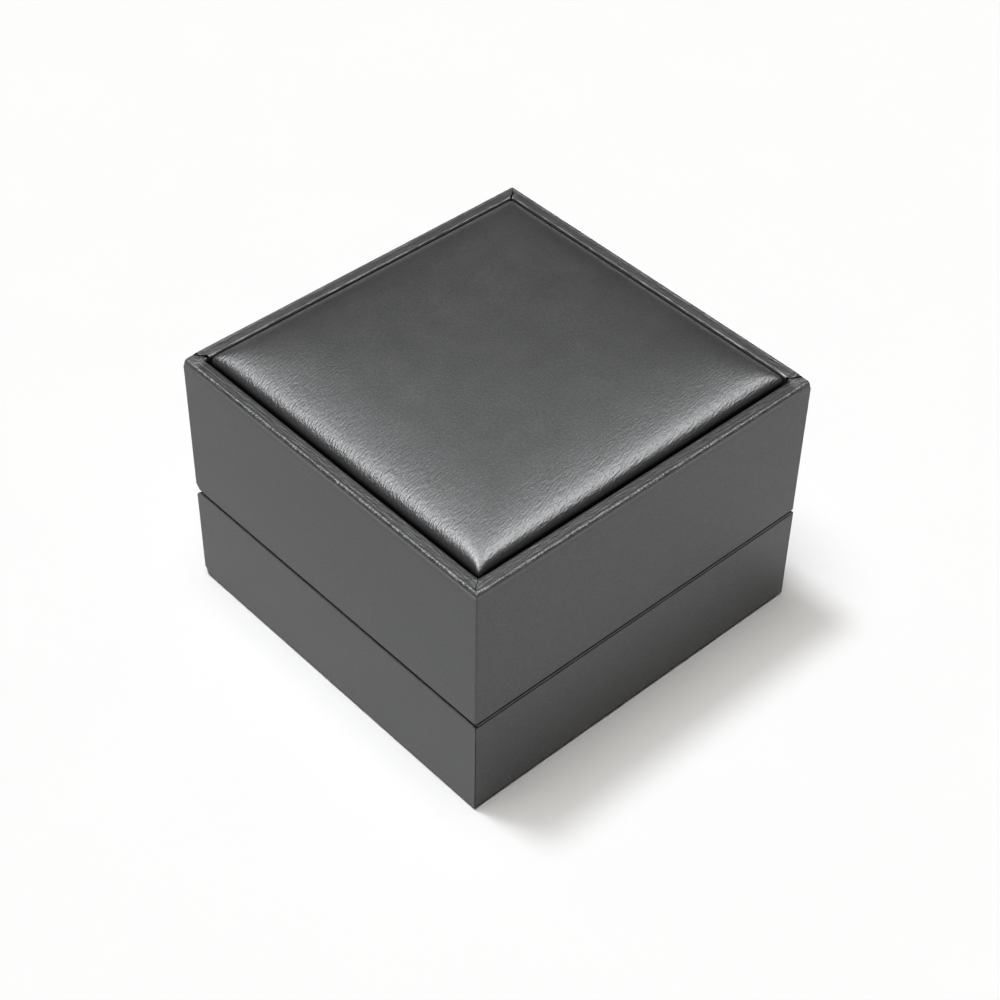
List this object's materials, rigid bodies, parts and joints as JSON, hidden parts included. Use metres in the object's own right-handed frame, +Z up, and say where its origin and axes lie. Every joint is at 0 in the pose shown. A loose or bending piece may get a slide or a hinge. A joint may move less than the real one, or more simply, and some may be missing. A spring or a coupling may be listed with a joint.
{
  "type": "ring box with drawer",
  "caption": "Square ring box in dark leatherette: a deep hinged lid with a padded top over a low base that hides a drawer.",
  "frame": {"origin": "on the table under the middle of the box", "axes": "+Z up, -Y out of the drawer's front, +X to the right of someone who faces the front"},
  "size_m": [0.09, 0.0886, 0.0635],
  "materials": {
    "leatherette": "satin, pearl grey, fine grain",
    "greyboard": "matte",
    "lining_paper": "matte",
    "velvet": "short pile velvet",
    "satin": "satin weave",
    "felt": "pressed felt",
    "foam": "open foam",
    "steel": "nickel plated",
    "magnet": "plated disc"
  },
  "bodies": {
    "base": {"base_underlay": "felt", "base_bottom_board": "greyboard", "base_left_board": "greyboard", "base_right_board": "greyboard", "base_back_board": "greyboard", "base_wrap": "leatherette", "base_deck_board": "greyboard", "base_deck_cover": "leatherette", "collar_front_board": "greyboard", "collar_back_board": "greyboard", "collar_left_board": "greyboard", "collar_right_board": "greyboard", "collar_velvet": "velvet", "collar_magnets": "magnet", "tray_velvet": "velvet", "drawer_glide_left": "felt", "drawer_glide_right": "felt", "drawer_stop_strip": "greyboard", "drawer_catch_magnet": "magnet", "hinge_base_leaf_left": "steel", "hinge_base_leaf_right": "steel", "hinge_pin_left": "steel", "hinge_pin_right": "steel", "ring_roll_1": "velvet", "ring_roll_2": "velvet", "ring_roll_3": "velvet", "ring_roll_4": "velvet", "ring_roll_5": "velvet", "ring_roll_6": "velvet"},
    "lid": {"hinge_lid_leaf_left": "steel", "hinge_lid_leaf_right": "steel", "lid_front_board": "greyboard", "lid_back_board": "greyboard", "lid_left_board": "greyboard", "lid_right_board": "greyboard", "lid_wrap": "leatherette", "lid_magnets": "magnet", "lid_top_board": "greyboard", "lid_cushion_board": "greyboard", "lid_cushion_foam": "foam", "lid_cushion_cover": "leatherette", "lid_ceiling_pad": "satin", "lid_wall_lining": "velvet"},
    "drawer": {"drawer_front_board": "greyboard", "drawer_front_wrap": "leatherette", "drawer_left_side": "lining_paper", "drawer_right_side": "lining_paper", "drawer_back": "lining_paper", "drawer_bottom": "lining_paper", "drawer_floor_velvet": "velvet", "drawer_wall_velvet": "velvet", "drawer_catch_plate": "steel"}
  },
  "joints": [
    {"name": "lid_hinge", "type": "hinge", "parent": "base", "child": "lid", "pos_m": [0, 0.0426, 0.0254], "axis": [-1, 0, 0], "range_deg": [0, 98]},
    {"name": "drawer_slide", "type": "slide", "parent": "base", "child": "drawer", "axis": [0, -1, 0], "range_m": [0, 0.06]}
  ]
}
